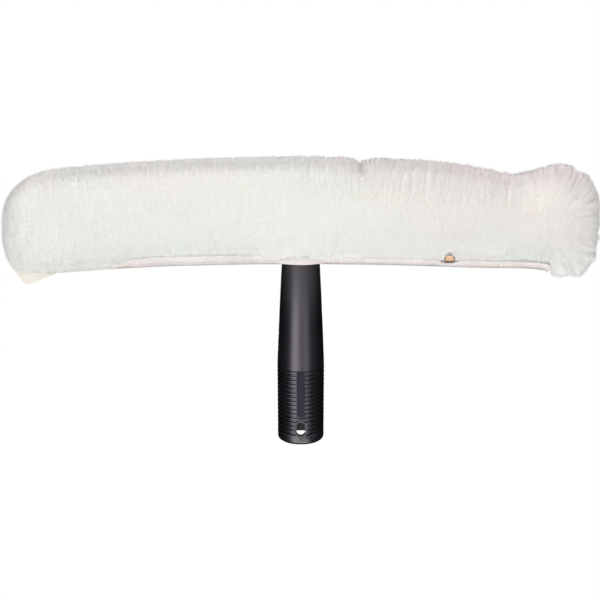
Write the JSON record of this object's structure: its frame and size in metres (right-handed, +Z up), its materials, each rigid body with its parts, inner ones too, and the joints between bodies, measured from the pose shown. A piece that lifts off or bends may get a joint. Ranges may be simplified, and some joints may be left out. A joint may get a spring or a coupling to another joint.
{
  "type": "window scrubber",
  "caption": "Hand-held window scrubber: a plush sleeve with a snap-closed flap over an arched crossbar, on a ribbed hollow handle that takes an extension pole.",
  "frame": {"origin": "centre of the handle's open end, the mouth of the pole socket", "axes": "+Z up the handle to the head, +X along the head to the end with the gathered bulge, the front face with the snap looks along -Y"},
  "size_m": [0.4586, 0.0478, 0.2265],
  "materials": {
    "handle_plastic": "satin",
    "bar_plastic": "satin",
    "rivet_metal": "satin",
    "plush": "matte",
    "tape": "matte",
    "snap_metal": "satin"
  },
  "bodies": {
    "scrubber": {"handle": "handle_plastic", "crossbar": "bar_plastic", "fork_rivets": "rivet_metal", "rivet_washers": "rivet_metal", "pile_sleeve": "plush", "end_panel": "plush", "corner_ear": "plush", "left_seam_tape": "tape", "neck_tape": "tape", "stud_lip": "plush", "snap_stud": "snap_metal", "snap_post": "snap_metal"},
    "flap": {"closing_flap": "plush", "flap_tape": "tape", "snap_cap": "snap_metal", "snap_socket": "snap_metal"}
  },
  "joints": [
    {"name": "flap_hinge", "type": "hinge", "parent": "scrubber", "child": "flap", "pos_m": [0.09127, -0.0224, 0.16873], "axis": [-0.9988, 0, 0.0497], "range_deg": [0, 150]}
  ]
}
